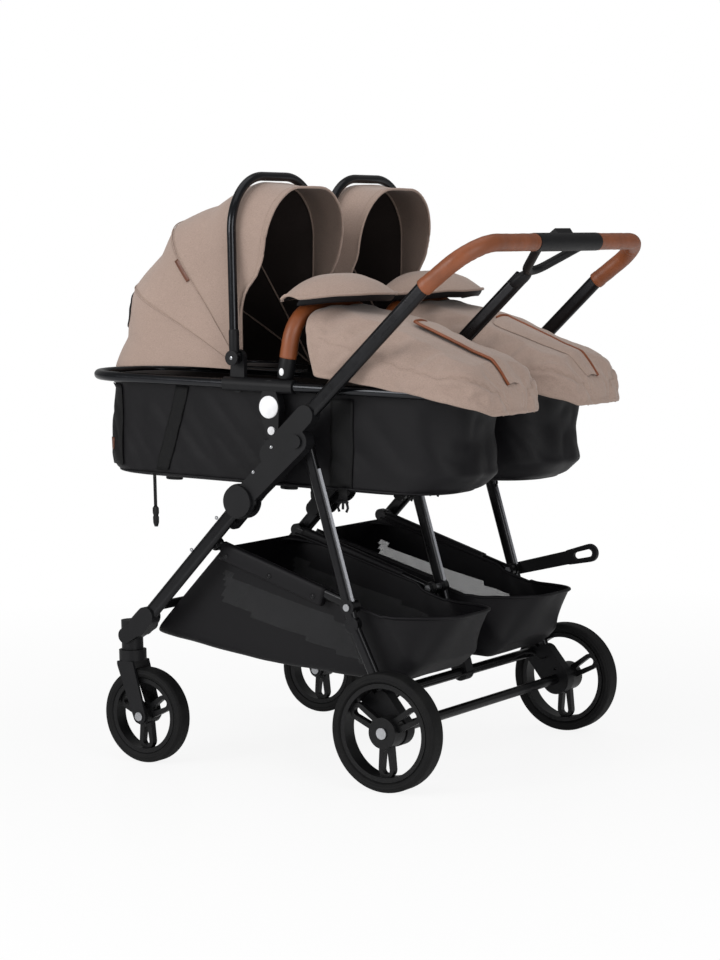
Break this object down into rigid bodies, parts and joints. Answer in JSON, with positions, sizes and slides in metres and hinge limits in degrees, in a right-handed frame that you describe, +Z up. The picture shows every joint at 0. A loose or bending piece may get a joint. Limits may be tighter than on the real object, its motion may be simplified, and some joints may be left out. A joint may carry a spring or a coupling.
{
  "type": "twin pram",
  "caption": "Side-by-side folding pram with lift-off carrycots, turning hoods, aprons, swivel casters, a foot brake and under-seat baskets.",
  "frame": {"origin": "on the floor, under the middle of the pram's box", "axes": "+Z up, +X towards the pram's left side, travel towards -Y"},
  "size_m": [0.761, 0.9984, 1.1895],
  "materials": {
    "frame_metal": "dark anodised, semi-gloss",
    "black_metal": "black lacquer, gloss",
    "steel": "zinc plated",
    "black_plastic": "fine grain",
    "grey_plastic": "fine grain",
    "pale_plastic": "smooth",
    "rim_plastic": "fine grain",
    "tyre": "matte foam rubber",
    "cable": "matte sheath",
    "leather": "smooth tan, stitched",
    "black_fabric": "plain weave, black",
    "taupe_fabric": "melange weave, taupe",
    "mattress_fabric": "quilted knit"
  },
  "bodies": {
    "rear_frame": {"rear_side_legs": "frame_metal", "rear_centre_leg": "frame_metal", "rear_cross_tube": "frame_metal", "rear_axle_tube": "frame_metal", "rear_stub_axles": "steel", "axle_housings": "black_plastic", "centre_leg_bracket": "black_plastic", "brake_cable": "cable", "link_bolts": "steel"},
    "brake_lever": {"brake_lever": "black_plastic"},
    "brake_pin_left": {"brake_pin_left": "steel"},
    "brake_pin_right": {"brake_pin_right": "steel"},
    "side_links": {"side_links": "black_metal"},
    "handle_frame": {"handlebar": "frame_metal", "handle_tubes": "frame_metal", "grips": "leather", "handle_sleeve": "black_plastic", "handle_yoke": "black_plastic", "side_brackets": "black_plastic", "centre_bracket": "black_plastic", "hinge_bolts": "black_plastic", "leg_bolts": "black_plastic"},
    "fold_trigger": {"fold_trigger": "grey_plastic"},
    "front_frame": {"front_tubes": "frame_metal", "front_cross_tube": "frame_metal", "seat_adapters": "black_plastic", "caster_sockets": "black_plastic", "link_studs": "steel", "basket_left": "black_fabric", "basket_right": "black_fabric"},
    "rear_wheel_left": {"rear_tyre_left": "tyre", "rear_rim_left": "rim_plastic"},
    "caster_left": {"caster_fork_left": "black_plastic", "front_bolt_left": "steel"},
    "front_wheel_left": {"front_tyre_left": "tyre", "front_rim_left": "rim_plastic"},
    "carrycot_left": {"tub_left": "black_fabric", "rail_left": "frame_metal", "hubs_left": "black_plastic", "mattress_left": "mattress_fabric"},
    "hood_left": {"bow_left": "black_metal", "hood_left": "taupe_fabric"},
    "cover_left": {"bumper_left": "leather", "apron_left": "taupe_fabric"},
    "release_button_left": {"release_button_left": "pale_plastic"},
    "rear_wheel_right": {"rear_tyre_right": "tyre", "rear_rim_right": "rim_plastic"},
    "caster_right": {"caster_fork_right": "black_plastic", "front_bolt_right": "steel"},
    "front_wheel_right": {"front_tyre_right": "tyre", "front_rim_right": "rim_plastic"},
    "carrycot_right": {"tub_right": "black_fabric", "rail_right": "frame_metal", "hubs_right": "black_plastic", "mattress_right": "mattress_fabric"},
    "hood_right": {"bow_right": "black_metal", "hood_right": "taupe_fabric"},
    "cover_right": {"bumper_right": "leather", "apron_right": "taupe_fabric"},
    "release_button_right": {"release_button_right": "pale_plastic"}
  },
  "joints": [
    {"name": "handle_fold", "type": "hinge", "parent": "rear_frame", "child": "handle_frame", "pos_m": [0, 0.082, 0.665], "axis": [-1, 0, 0], "range_deg": [0, 43]},
    {"name": "front_fold", "type": "hinge", "parent": "handle_frame", "child": "front_frame", "pos_m": [0, -0.057, 0.545], "axis": [1, 0, 0], "range_deg": [0, 87.06]},
    {"name": "link_fold", "type": "hinge", "parent": "rear_frame", "child": "side_links", "pos_m": [0, 0.17084, 0.34407], "axis": [-1, 0, 0], "range_deg": [0, 16.01]},
    {"name": "brake_press", "type": "hinge", "parent": "rear_frame", "child": "brake_lever", "pos_m": [0, 0.17084, 0.34407], "axis": [-1, 0, 0], "range_deg": [0, 25]},
    {"name": "fold_trigger_slide", "type": "slide", "parent": "handle_frame", "child": "fold_trigger", "axis": [1, 0, 0], "range_m": [0, 0.008], "stiffness_N_per_m": 300},
    {"name": "brake_pin_left_slide", "type": "slide", "parent": "rear_frame", "child": "brake_pin_left", "axis": [1, 0, 0], "range_m": [0, 0.00505]},
    {"name": "rear_wheel_left_spin", "type": "hinge", "parent": "rear_frame", "child": "rear_wheel_left", "pos_m": [0.358, 0.274, 0.115], "axis": [1, 0, 0], "continuous": true},
    {"name": "caster_left_swivel", "type": "hinge", "parent": "front_frame", "child": "caster_left", "pos_m": [0.322, -0.36, 0.26], "axis": [0, 0, 1], "continuous": true},
    {"name": "front_wheel_left_spin", "type": "hinge", "parent": "caster_left", "child": "front_wheel_left", "pos_m": [0.322, -0.327, 0.097], "axis": [1, 0, 0], "continuous": true},
    {"name": "carrycot_left_lift", "type": "slide", "parent": "front_frame", "child": "carrycot_left", "axis": [0, 0, 1], "range_m": [0, 0.09]},
    {"name": "hood_left_turn", "type": "hinge", "parent": "carrycot_left", "child": "hood_left", "pos_m": [0.171, -0.08385, 0.82449], "axis": [1, 0, 0], "range_deg": [0, 70], "deforming": ["hood_left"]},
    {"name": "cover_left_lift", "type": "slide", "parent": "carrycot_left", "child": "cover_left", "axis": [0, 0, 1], "range_m": [0, 0.08]},
    {"name": "release_button_left_press", "type": "slide", "parent": "carrycot_left", "child": "release_button_left", "axis": [-1, 0, 0], "range_m": [0, 0.003], "stiffness_N_per_m": 400},
    {"name": "brake_pin_right_slide", "type": "slide", "parent": "rear_frame", "child": "brake_pin_right", "axis": [-1, 0, 0], "range_m": [0, 0.00505]},
    {"name": "rear_wheel_right_spin", "type": "hinge", "parent": "rear_frame", "child": "rear_wheel_right", "pos_m": [-0.358, 0.274, 0.115], "axis": [1, 0, 0], "continuous": true},
    {"name": "caster_right_swivel", "type": "hinge", "parent": "front_frame", "child": "caster_right", "pos_m": [-0.322, -0.36, 0.26], "axis": [0, 0, 1], "continuous": true},
    {"name": "front_wheel_right_spin", "type": "hinge", "parent": "caster_right", "child": "front_wheel_right", "pos_m": [-0.322, -0.327, 0.097], "axis": [1, 0, 0], "continuous": true},
    {"name": "carrycot_right_lift", "type": "slide", "parent": "front_frame", "child": "carrycot_right", "axis": [0, 0, 1], "range_m": [0, 0.09]},
    {"name": "hood_right_turn", "type": "hinge", "parent": "carrycot_right", "child": "hood_right", "pos_m": [-0.171, -0.08385, 0.82449], "axis": [1, 0, 0], "range_deg": [0, 70], "deforming": ["hood_right"]},
    {"name": "cover_right_lift", "type": "slide", "parent": "carrycot_right", "child": "cover_right", "axis": [0, 0, 1], "range_m": [0, 0.08]},
    {"name": "release_button_right_press", "type": "slide", "parent": "carrycot_right", "child": "release_button_right", "axis": [1, 0, 0], "range_m": [0, 0.003], "stiffness_N_per_m": 400}
  ],
  "couplings": [
    {"joint": "front_fold", "follows": "handle_fold", "ratio": 2.02},
    {"joint": "link_fold", "follows": "handle_fold", "ratio": 0.37},
    {"joint": "brake_pin_left_slide", "follows": "brake_press", "m_per_rad": 0.011459},
    {"joint": "brake_pin_right_slide", "follows": "brake_press", "m_per_rad": 0.011459}
  ]
}
